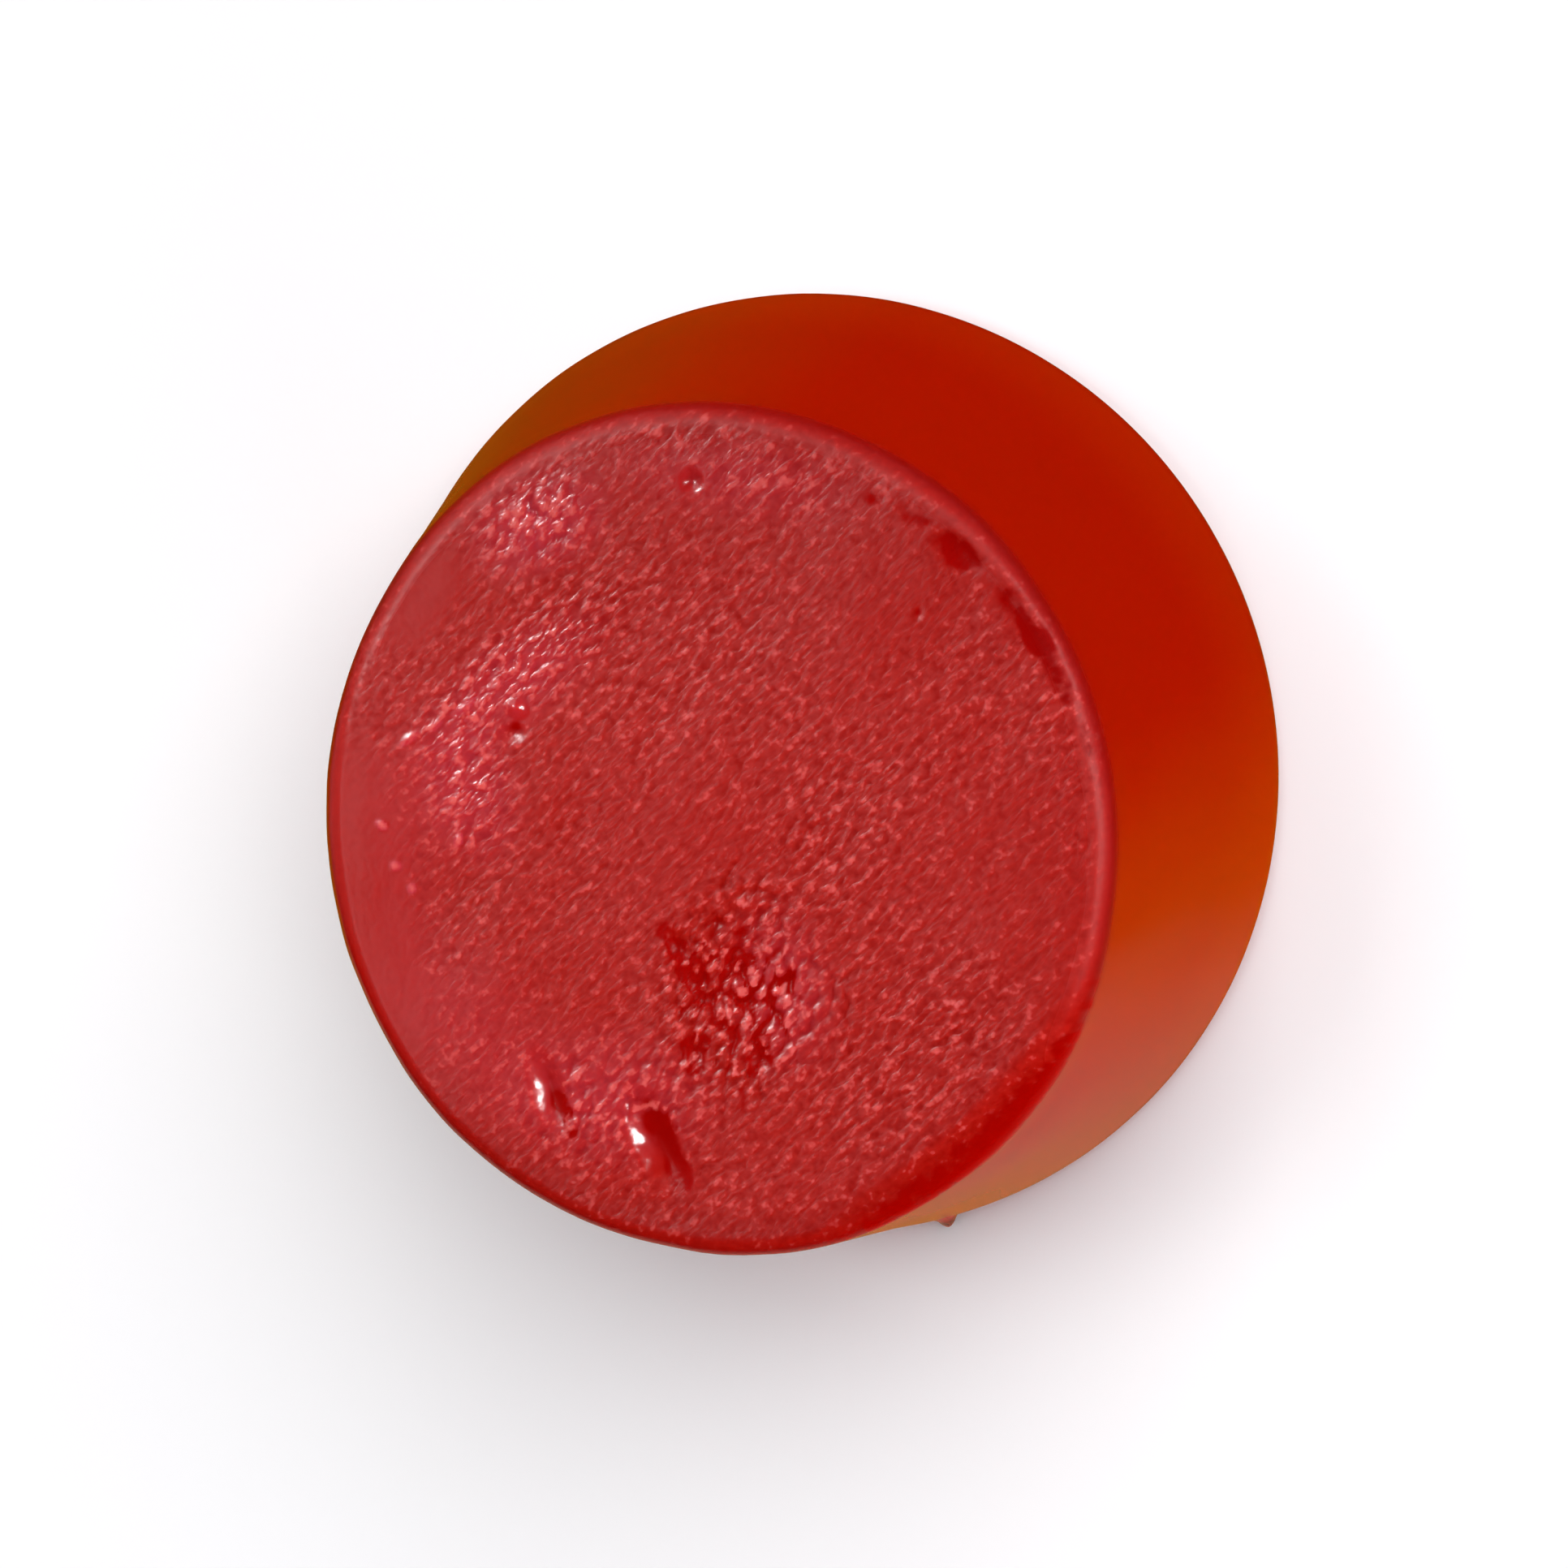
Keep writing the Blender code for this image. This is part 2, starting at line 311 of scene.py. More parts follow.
FLOOR_SIZE = 4.0

# The camera, and the middle of its frame
VIEW_TILT = 17.2
VIEW_TURN = 34.0
VIEW_DISTANCE = 120 * MM
VIEW_MIDDLE = Vector((1.0 * MM, 0.8 * MM, THICKNESS * 0.75))
GUM_IN_FRAME = 0.64  # share of the frame's width that the gum takes

# Settings and values that many nodes share. A map range goes from 0 to 1 unless it is told otherwise
SMOOTH = {"interpolation_type": "SMOOTHSTEP"}
IN_4D = {"noise_dimensions": "4D"}
HALF = (0.5, 0.5, 0.5)  # the middle of a noise's colours
LEVEL = (1.0, 1.0, 0.0)  # a place times this has no height


def add(tree, kind, inputs=(), **settings):
    """Adds a node with its settings and links.

    Inputs go by name, or in the order of the sockets in use: each a value, a socket or a node.
    """
    made = tree.nodes.new(kind)
    for name, value in settings.items():
        setattr(made, name, value)
    in_use = [socket for socket in made.inputs if socket.enabled]
    if isinstance(inputs, dict):
        pairs = [
            (next(socket for socket in in_use if socket.name == name), value)
            for name, value in inputs.items()
        ]
    else:
        pairs = list(zip(in_use, inputs))
    for into, value in pairs:
        if isinstance(value, bpy.types.Node):
            value = next(socket for socket in value.outputs if socket.enabled)
        if isinstance(value, bpy.types.NodeSocket):
            tree.links.new(value, into)
        elif value is not None:
            into.default_value = value
    return made


def linear(hex_colour):
    """The linear colour, with alpha, of an sRGB hex value."""
    channels = [int(hex_colour[i : i + 2], 16) / 255 for i in (1, 3, 5)]
    return (*[c / 12.92 if c <= 0.04045 else ((c + 0.055) / 1.055) ** 2.4 for c in channels], 1.0)


# Section of the cast body


def rounded_corner(before, corner, after, radius, steps):
    """Points on the arc that rounds a corner of the section, from the side of before to that of after."""
    back = (before - corner).normalized()
    ahead = (after - corner).normalized()
    half_angle = back.angle(ahead) / 2
    middle = corner + (back + ahead).normalized() * radius / math.sin(half_angle)
    first = (corner + back * radius / math.tan(half_angle) - middle).normalized()
    last = (corner + ahead * radius / math.tan(half_angle) - middle).normalized()
    return [middle + radius * first.slerp(last, step / steps) for step in range(steps + 1)]


def evenly_between(start, end, count):
    """The points that cut a straight run into count parts, without its two ends."""
    return [start.lerp(end, step / count) for step in range(1, count)]


def section_points():
    """One point a ring, from the middle of the face, down the outer side, to the middle of the back."""
    face_middle = Vector((0.0, THICKNESS))
    face_corner = Vector((FACE_DIAMETER / 2, THICKNESS))
    back_corner = Vector((BACK_DIAMETER / 2, 0.0))
    back_middle = Vector((0.0, 0.0))
    face_edge = rounded_corner(face_middle, face_corner, back_corner, FACE_EDGE_RADIUS, FACE_EDGE_RINGS)
    back_edge = rounded_corner(face_corner, back_corner, back_middle, BACK_EDGE_RADIUS, BACK_EDGE_RINGS)
    return [
        face_middle,
        *evenly_between(face_middle, face_edge[0], FACE_RINGS),
        *face_edge,
        *(face_edge[-1].lerp(back_edge[0], share) for share in WALL_RING_SHARES),
        *back_edge,
        *(back_edge[-1].lerp(back_middle, share) for share in BACK_RING_SHARES),
        back_middle,
    ]


# Geometry Nodes


def new_tree(name, inputs, outputs):
    """A Geometry Nodes tree with named inputs and outputs, each given as (name, kind of socket, value)."""
    tree = bpy.data.node_groups.new(name, "GeometryNodeTree")
    for in_out, sockets in (("INPUT", inputs), ("OUTPUT", outputs)):
        for label, kind, value in sockets:
            socket = tree.interface.new_socket(label, in_out=in_out, socket_type=f"NodeSocket{kind}")
            if value is not None:
                socket.default_value = value
    return tree, tree.nodes.new("NodeGroupInput").outputs


def turned_and_sized(tree, place, turn, length, width):
    """A place turned back by an angle, and measured in lengths along X and widths along Y."""
    back_turn = add(tree, "ShaderNodeMath", [turn, -1.0], operation="MULTIPLY")
    turned = add(
        tree, "ShaderNodeVectorRotate", {"Vector": place, "Angle": back_turn}, rotation_type="Z_AXIS"
    )
    size = add(tree, "ShaderNodeCombineXYZ", [length, width, 1.0])
    return add(tree, "ShaderNodeVectorMath", [turned, size], operation="DIVIDE")


def soft_spot_tree():
    """An oval spot: 1 at its middle, falling smoothly to 0 at its outline."""
    inputs = (
        ("Place", "Vector", None),
        ("Middle", "Vector", None),
        ("Length", "Float", MM),
        ("Width", "Float", MM),
        ("Turn", "Float", 0.0),
    )
    tree, given = new_tree("Soft spot", inputs, (("Share", "Float", None),))
    off = add(tree, "ShaderNodeVectorMath", [given["Place"], given["Middle"]], operation="SUBTRACT")
    sized = turned_and_sized(tree, off, given["Turn"], given["Length"], given["Width"])
    flat = add(tree, "ShaderNodeVectorMath", [sized, (2.0, 2.0, 0.0)], operation="MULTIPLY")
    reach = add(tree, "ShaderNodeVectorMath", [flat], operation="LENGTH")
    share = add(tree, "ShaderNodeMapRange", [reach, 0.0, 1.0, 1.0, 0.0], **SMOOTH)
    add(tree, "NodeGroupOutput", [share])
    return tree


def spots_in_metres(table, amount_unit=1.0, on_edge=False):
    """A table's rows in metres and radians, with angles along the edge of the face as ways along it."""
    rows = []
    for (x, y), length, width, turn, amount in table.values():
        x = math.radians(x) * FACE_DIAMETER / 2 if on_edge else x * MM
        rows.append(((x, y * MM, 0.0), length * MM, width * MM, math.radians(turn), amount * amount_unit))
    return rows


def spots_tree(name, rows, spot_tree):
    """What all the soft spots of a table come to at a place."""
    tree, given = new_tree(name, (("Place", "Vector", None),), (("Amount", "Float", None),))
    total = 0.0
    for *spot_inputs, amount in rows:
        spot = add(tree, "GeometryNodeGroup", [given["Place"], *spot_inputs], node_tree=spot_tree)
        total = add(tree, "ShaderNodeMath", [spot, amount, total], operation="MULTIPLY_ADD")
    add(tree, "NodeGroupOutput", [total])
    return tree


def cast_tree():
    """Gathers a square sheet round the section, ring by ring, into the closed body of the gum."""
    inputs = (
        ("Section", "Geometry", None),
        ("Rings", "Int", 100),
        ("Thickness", "Float", THICKNESS),
        ("Face Oval Share", "Float", 0.0),
        ("Back Oval Share", "Float", 0.0),
    )
    tree, given = new_tree("Cast body", inputs, (("Body", "Geometry", None),))
    across = add(tree, "ShaderNodeMath", [given["Rings"], 2.0], operation="MULTIPLY")
    count = add(tree, "ShaderNodeMath", [across, 1.0], operation="ADD")
    sheet = add(tree, "GeometryNodeMeshGrid", [across, across, count, count])
    place = add(tree, "ShaderNodeSeparateXYZ", [add(tree, "GeometryNodeInputPosition")])
    x, y = place.outputs["X"], place.outputs["Y"]
    far_x = add(tree, "ShaderNodeMath", [x], operation="ABSOLUTE")
    far_y = add(tree, "ShaderNodeMath", [y], operation="ABSOLUTE")
    ring = add(tree, "ShaderNodeMath", [far_x, far_y], operation="MAXIMUM")
    along_y = add(tree, "FunctionNodeCompare", [far_y, far_x], operation="GREATER_THAN")
    # A side of the sheet's square ring becomes a quarter of the round ring
    slope_x = add(tree, "ShaderNodeMath", [y, x], operation="DIVIDE")
    slope_y = add(tree, "ShaderNodeMath", [x, y], operation="DIVIDE")
    turn_x = add(tree, "ShaderNodeMath", [slope_x, math.pi / 4], operation="MULTIPLY")
    turn_y = add(tree, "ShaderNodeMath", [slope_y, -math.pi / 4, math.pi / 2], operation="MULTIPLY_ADD")
    turn = add(tree, "GeometryNodeSwitch", [along_y, turn_x, turn_y], input_type="FLOAT")
    lead = add(tree, "GeometryNodeSwitch", [along_y, x, y], input_type="FLOAT")
    side = add(tree, "ShaderNodeMath", [lead], operation="SIGN")
    cosine = add(tree, "ShaderNodeMath", [turn], operation="COSINE")
    sine = add(tree, "ShaderNodeMath", [turn], operation="SINE")
    index = add(tree, "FunctionNodeFloatToInt", [ring], rounding_mode="ROUND")
    section = add(
        tree,
        "GeometryNodeSampleIndex",
        {"Geometry": given["Section"], "Value": add(tree, "GeometryNodeInputPosition"), "Index": index},
        data_type="FLOAT_VECTOR",
        domain="POINT",
    )
    cut = add(tree, "ShaderNodeSeparateXYZ", [section])
    reach = add(tree, "ShaderNodeMath", [cut.outputs["X"], side], operation="MULTIPLY")
    ends = (given["Back Oval Share"], given["Face Oval Share"])
    oval = add(tree, "ShaderNodeMapRange", [cut.outputs["Z"], 0.0, given["Thickness"], *ends])
    oval_x = add(tree, "ShaderNodeMath", [1.0, oval], operation="SUBTRACT")
    oval_y = add(tree, "ShaderNodeMath", [1.0, oval], operation="ADD")
    reach_x = add(tree, "ShaderNodeMath", [reach, oval_x], operation="MULTIPLY")
    reach_y = add(tree, "ShaderNodeMath", [reach, oval_y], operation="MULTIPLY")
    round_x = add(tree, "ShaderNodeMath", [reach_x, cosine], operation="MULTIPLY")
    round_y = add(tree, "ShaderNodeMath", [reach_y, sine], operation="MULTIPLY")
    on_body = add(tree, "ShaderNodeCombineXYZ", [round_x, round_y, cut.outputs["Z"]])
    gathered = add(tree, "GeometryNodeSetPosition", {"Geometry": sheet, "Position": on_body})
    closed = add(tree, "GeometryNodeMergeByDistance", {"Geometry": gathered, "Distance": MERGE_GAP})
    add(tree, "NodeGroupOutput", [closed])
    return tree


def along_face_edge(tree, place, face_radius):
    """How far a place is from the axis, and its place as (way along the edge of the face, radius)."""
    parts = add(tree, "ShaderNodeSeparateXYZ", [place])
    angle = add(tree, "ShaderNodeMath", [parts.outputs["Y"], parts.outputs["X"]], operation="ARCTAN2")
    arc = add(tree, "ShaderNodeMath", [angle, face_radius], operation="MULTIPLY")
    radius = add(tree, "ShaderNodeVectorMath", [place], operation="LENGTH").outputs["Value"]
    return radius, add(tree, "ShaderNodeCombineXYZ", [arc, radius, 0.0])


def relief_tree():
    """Sinks, dents, grains and crumples the face, waves the wall, and raises the nub.

    It also stores along the skin what the finish reads: see SKIN_ATTRIBUTES.
    """
    inputs = (
        ("Body", "Geometry", None),
        ("Face Height", "Float", THICKNESS),
        ("Face Radius", "Float", FACE_DIAMETER / 2),
        ("Face Edge", "Float", FACE_EDGE_RADIUS),
        ("Face Sag", "Float", 0.0),
        ("Edge Roll", "Float", 0.0),
        ("Face Wave", "Float", 0.0),
        ("Face Wave Length", "Float", MM),
        ("Stray", "Float", 0.0),
        ("Stray Size", "Float", MM),
        ("Grain Height", "Float", 0.0),
        ("Grain Length", "Float", MM),
        ("Grain Width", "Float", MM),
        ("Grain Turn", "Float", 0.0),
        ("Grain Bend", "Float", 0.0),
        ("Crumple Height", "Float", 0.0),
        ("Crumple Length", "Float", MM),
        ("Crumple Width", "Float", MM),
        ("Crumple Turn", "Float", 0.0),
        ("Crumple Stray", "Float", 0.0),
        ("Rim Grain", "Float", 0.0),
        ("Torn Size", "Float", MM),
        ("Wall Drop", "Float", MM),
        ("Wall Wave", "Float", 0.0),
        ("Wall Wave Length", "Float", MM),
        ("Back Radius", "Float", BACK_DIAMETER / 2),
        ("Nub", "Float", 0.0),
        ("Seed", "Float", 0.0),
        ("Finish", "Material", None),
    )
    tree, given = new_tree("Skin relief", inputs, (("Body", "Geometry", None),))
    place = add(tree, "GeometryNodeInputPosition")
    axes = add(tree, "ShaderNodeSeparateXYZ", [place])
    height = axes.outputs["Z"]
    flat = add(tree, "ShaderNodeVectorMath", [place, LEVEL], operation="MULTIPLY")
    face_sizes = [given["Face Height"], given["Face Edge"]]
    edge_foot = add(tree, "ShaderNodeMath", face_sizes, operation="SUBTRACT")
    on_face = add(tree, "ShaderNodeMapRange", [height, edge_foot, given["Face Height"]], **SMOOTH)
    noises = []
    for size in ("Stray Size", "Face Wave Length", "Wall Wave Length"):
        scale = add(tree, "ShaderNodeMath", [1.0, given[size]], operation="DIVIDE")
        noise_inputs = {"Vector": place, "W": given["Seed"], "Scale": scale, "Detail": 2.0}
        noises.append(add(tree, "ShaderNodeTexNoise", noise_inputs, **IN_4D))
    stray_noise, wave_noise, swell_noise = noises

    # Marks have ragged outlines, because the places they are measured from stray a little
    aside = add(tree, "ShaderNodeVectorMath", [stray_noise.outputs["Color"], HALF], operation="SUBTRACT")
    aside = add(tree, "ShaderNodeVectorMath", {"Vector": aside, "Scale": given["Stray"]}, operation="SCALE")
    strayed = add(tree, "ShaderNodeVectorMath", [flat, aside], operation="ADD")
    level = add(tree, "ShaderNodeVectorMath", [strayed, LEVEL], operation="MULTIPLY")
    radius, along_edge = along_face_edge(tree, flat, given["Face Radius"])
    ragged_edge = along_face_edge(tree, level, given["Face Radius"])[1]

    # What each table of marks and places comes to
    spot_tree = soft_spot_tree()
    tables = (
        ("Press marks", strayed, spots_in_metres(PRESS_MARKS, MM)),
        ("Edge marks", along_edge, spots_in_metres(EDGE_MARKS, MM, on_edge=True)),
        ("Grained places", strayed, spots_in_metres(GRAINED_PLACES)),
        ("Crumpled places", strayed, spots_in_metres(CRUMPLED_PLACES)),
        ("Painted sheen places", strayed, spots_in_metres(PAINTED_SHEEN_PLACES)),
        ("Deep shade places", strayed, spots_in_metres(DEEP_SHADE_PLACES)),
        ("Deep edge shade places", ragged_edge, spots_in_metres(EDGE_DEEP_SHADE_PLACES, on_edge=True)),
    )
    press, worn, grained, crumpled, painted_sheen, deep, edge_deep = (
        add(tree, "GeometryNodeGroup", [where], node_tree=spots_tree(name, rows, spot_tree))
        for name, where, rows in tables
    )

    # Sag, rolled edge, long waves and marks of the face
    share = add(tree, "ShaderNodeMath", [radius, given["Face Radius"]], operation="DIVIDE")
    squared = add(tree, "ShaderNodeMath", [share, 2.0], operation="POWER")
    hollow = add(tree, "ShaderNodeMath", [1.0, squared], operation="SUBTRACT")
    depth = add(tree, "ShaderNodeMath", [hollow, given["Face Sag"]], operation="MULTIPLY")
    rolled = add(tree, "ShaderNodeMapRange", [share, *ROLL_SHARES], **SMOOTH)
    depth = add(tree, "ShaderNodeMath", [rolled, given["Edge Roll"], depth], operation="MULTIPLY_ADD")
    wave = add(tree, "ShaderNodeMapRange", [wave_noise, 0.0, 1.0, -1.0, 1.0])
    depth = add(tree, "ShaderNodeMath", [wave, given["Face Wave"], depth], operation="MULTIPLY_ADD")
    marks = add(tree, "ShaderNodeMath", [press, worn], operation="ADD")
    depth = add(tree, "ShaderNodeMath", [depth, marks], operation="ADD")

    # Fine grain, which runs slantwise over the face
    in_grains = turned_and_sized(
        tree, level, given["Grain Turn"], given["Grain Length"], given["Grain Width"]
    )
    grain_inputs = {"Vector": in_grains, "W": given["Seed"], "Scale": 1.0, "Detail": 1.0}
    grain_inputs["Distortion"] = given["Grain Bend"]
    grain = add(tree, "ShaderNodeTexNoise", grain_inputs, **IN_4D)
    grain = add(tree, "ShaderNodeMath", [grain, 0.5], operation="SUBTRACT")
    patchy = add(tree, "ShaderNodeMapRange", [wave_noise, *NOISE_SPREAD, *PATCHY_GRAIN])
    strength = add(tree, "ShaderNodeMath", [patchy, grained], operation="ADD")
    strength = add(tree, "ShaderNodeMath", [strength, 0.0], operation="MAXIMUM")
    grain = add(tree, "ShaderNodeMath", [grain, strength], operation="MULTIPLY")
    rise = add(tree, "ShaderNodeMath", [grain, given["Grain Height"]], operation="MULTIPLY")

    # Crumples: rounded lumps with sharp valleys between them, no two of one height
    torn_scale = add(tree, "ShaderNodeMath", [1.0, given["Torn Size"]], operation="DIVIDE")
    torn_noise = add(tree, "ShaderNodeTexNoise", {"Vector": level, "Scale": torn_scale, "Detail": 2.0})
    in_lumps = turned_and_sized(
        tree, strayed, given["Crumple Turn"], given["Crumple Length"], given["Crumple Width"]
    )
    bend = add(tree, "ShaderNodeVectorMath", [torn_noise.outputs["Color"], HALF], operation="SUBTRACT")
    bend_inputs = {"Vector": bend, "Scale": given["Crumple Stray"]}
    bend = add(tree, "ShaderNodeVectorMath", bend_inputs, operation="SCALE")
    in_lumps = add(tree, "ShaderNodeVectorMath", [in_lumps, bend], operation="ADD")
    lump = add(tree, "ShaderNodeTexVoronoi", {"Vector": in_lumps, "Scale": 1.0}, voronoi_dimensions="2D")
    off_lump = add(tree, "ShaderNodeMath", [lump, 2.0], operation="POWER")
    crumple = add(tree, "ShaderNodeMath", [off_lump, -LUMP_FALL, LUMP_TOP], operation="MULTIPLY_ADD")
    lump_share = add(tree, "ShaderNodeSeparateXYZ", [lump.outputs["Color"]])
    tall = add(tree, "ShaderNodeMapRange", [lump_share, 0.0, 1.0, *LUMP_HEIGHTS])
    crumple = add(tree, "ShaderNodeMath", [crumple, tall], operation="MULTIPLY")
    crumpled = add(tree, "ShaderNodeMath", [crumpled, 0.0], operation="MAXIMUM")
    crumple = add(tree, "ShaderNodeMath", [crumple, crumpled], operation="MULTIPLY")
    rise = add(tree, "ShaderNodeMath", [crumple, given["Crumple Height"], rise], operation="MULTIPLY_ADD")
    rim_foot = add(tree, "ShaderNodeMath", [edge_foot, given["Rim Grain"]], operation="SUBTRACT")
    roughened = add(tree, "ShaderNodeMapRange", [height, rim_foot, given["Face Height"]], **SMOOTH)
    rise = add(tree, "ShaderNodeMath", [rise, roughened], operation="MULTIPLY")
    normal = add(tree, "GeometryNodeInputNormal")
    raised = add(tree, "ShaderNodeVectorMath", {"Vector": normal, "Scale": rise}, operation="SCALE")

    # The edge of the face sinks whole, and the wall below it takes up the drop
    drop_foot = add(tree, "ShaderNodeMath", [edge_foot, given["Wall Drop"]], operation="SUBTRACT")
    sinking = add(tree, "ShaderNodeMapRange", [height, drop_foot, edge_foot], **SMOOTH)
    fall = add(tree, "ShaderNodeMath", [depth, sinking], operation="MULTIPLY")
    fall = add(tree, "ShaderNodeMath", [fall, -1.0], operation="MULTIPLY")
    sunk = add(tree, "ShaderNodeCombineXYZ", [0.0, 0.0, fall])
    lifted = add(tree, "ShaderNodeVectorMath", [raised, sunk], operation="ADD")

    # Waves of the wall, which die out towards the flat back
    off_back = add(tree, "ShaderNodeMapRange", [height, *WALL_WAVE_ENDS])
    swell = add(tree, "ShaderNodeMapRange", [swell_noise, 0.0, 1.0, -1.0, 1.0])
    swell = add(tree, "ShaderNodeMath", [swell, off_back], operation="MULTIPLY")
    swell = add(tree, "ShaderNodeMath", [swell, given["Wall Wave"]], operation="MULTIPLY")
    # The nub sticks out of the back edge
    back_arc = add(tree, "ShaderNodeMath", [axes.outputs["Y"], axes.outputs["X"]], operation="ARCTAN2")
    back_arc = add(tree, "ShaderNodeMath", [back_arc, given["Back Radius"]], operation="MULTIPLY")
    on_wall = add(tree, "ShaderNodeCombineXYZ", [back_arc, height, 0.0])
    nub_middle = (math.radians(NUB_ANGLE) * BACK_DIAMETER / 2, NUB_HEIGHT, 0.0)
    nub_inputs = [on_wall, nub_middle, NUB_LENGTH, NUB_WIDTH, 0.0]
    nub = add(tree, "GeometryNodeGroup", nub_inputs, node_tree=spot_tree)
    at_wall = add(tree, "FunctionNodeCompare", [radius, given["Face Radius"]], operation="GREATER_THAN")
    nub = add(tree, "ShaderNodeMath", [nub, at_wall], operation="MULTIPLY")
    swell = add(tree, "ShaderNodeMath", [nub, given["Nub"], swell], operation="MULTIPLY_ADD")
    outwards = add(tree, "ShaderNodeVectorMath", [flat], operation="NORMALIZE")
    pushed = add(tree, "ShaderNodeVectorMath", {"Vector": outwards, "Scale": swell}, operation="SCALE")
    moved = add(tree, "ShaderNodeVectorMath", [pushed, lifted], operation="ADD")

    # Places of painted deep shade have torn outlines, and end where the wall begins
    deep = add(tree, "ShaderNodeMath", [deep, edge_deep], operation="ADD")
    torn = add(tree, "ShaderNodeMapRange", [torn_noise, *NOISE_SPREAD, *TORN_SHARES])
    deep = add(tree, "ShaderNodeMath", [deep, torn], operation="MULTIPLY")
    wall_head = add(tree, "ShaderNodeMath", [edge_foot, DEEP_SHADE_FADE], operation="ADD")
    off_wall = add(tree, "ShaderNodeMapRange", [height, edge_foot, wall_head])
    deep = add(tree, "ShaderNodeMath", [deep, off_wall], operation="MULTIPLY")

    body = given["Body"]
    printed = add(tree, "ShaderNodeMath", [strength, roughened], operation="MULTIPLY")
    for name, value in zip(SKIN_ATTRIBUTES, (on_face, printed, crumple, painted_sheen, deep, nub)):
        stored = {"Geometry": body, "Name": name, "Value": value}
        body = add(tree, "GeometryNodeStoreNamedAttribute", stored)
    body = add(tree, "GeometryNodeSetPosition", {"Geometry": body, "Offset": moved})
    body = add(tree, "GeometryNodeSetShadeSmooth", {"Geometry": body})
    body = add(tree, "GeometryNodeRealizeInstances", {"Geometry": body})
    body = add(tree, "GeometryNodeSetMaterial", {"Geometry": body, "Material": given["Finish"]})
    add(tree, "NodeGroupOutput", [body])
    return tree


def with_nodes(thing, name, tree, values):
    """Puts a tree on an object, with its named inputs set by their identifiers."""
    modifier = thing.modifiers.new(name, "NODES")
    modifier.node_group = tree
    sockets = [item for item in tree.interface.items_tree if item.in_out == "INPUT"]
    identifiers = {socket.name: socket.identifier for socket in sockets}
    for label, value in values.items():
        modifier[identifiers[label]] = value


def plain_copy(thing):
    """The object with its modifiers worked out into a plain mesh, and taken off it."""
    evaluated = thing.evaluated_get(bpy.context.evaluated_depsgraph_get())
    mesh = bpy.data.meshes.new_from_object(evaluated)
    thing.modifiers.clear()
    thing.data = mesh
    return thing


def cast_gum(finish):
    """The gum's body, from its section, with its skin relief."""
    points = section_points()
    section = bpy.data.meshes.new("gum_section")
    edges = [(i, i + 1) for i in range(len(points) - 1)]
    section.from_pydata([(point.x, 0.0, point.y) for point in points], edges, [])
    gum = bpy.data.objects.new("cast_gum", section)
    bpy.context.scene.collection.objects.link(gum)
    ovals = {"Face Oval Share": FACE_OVAL_SHARE, "Back Oval Share": BACK_OVAL_SHARE}
    with_nodes(gum, "Cast", cast_tree(), {"Rings": len(points) - 1, **ovals})
    with_nodes(
        gum,
        "Relief",
        relief_tree(),
        {
            "Face Sag": 0.12 * MM,
            "Edge Roll": 0.012 * MM,
            "Face Wave": 0.06 * MM,
            "Face Wave Length": 4.5 * MM,
            "Stray": 0.3 * MM,
            "Stray Size": 0.8 * MM,
            "Grain Height": 0.021 * MM,
            "Grain Length": 0.38 * MM,
            "Grain Width": 0.20 * MM,
            "Grain Turn": math.radians(40),
            "Grain Bend": 0.2,
            "Crumple Height": 0.024 * MM,
            "Crumple Length": 0.36 * MM,
            "Crumple Width": 0.24 * MM,
            "Crumple Turn": math.radians(68),
            "Crumple Stray": 1.3,
            "Rim Grain": 0.5 * MM,
            "Torn Size": 0.4 * MM,
            "Wall Drop": 3.0 * MM,
            "Wall Wave": 0.12 * MM,
            "Wall Wave Length": 5.0 * MM,
            "Nub": NUB_REACH,
            "Seed": 3.0,
            "Finish": finish,
        },
    )
    return plain_copy(gum)


# Finishes


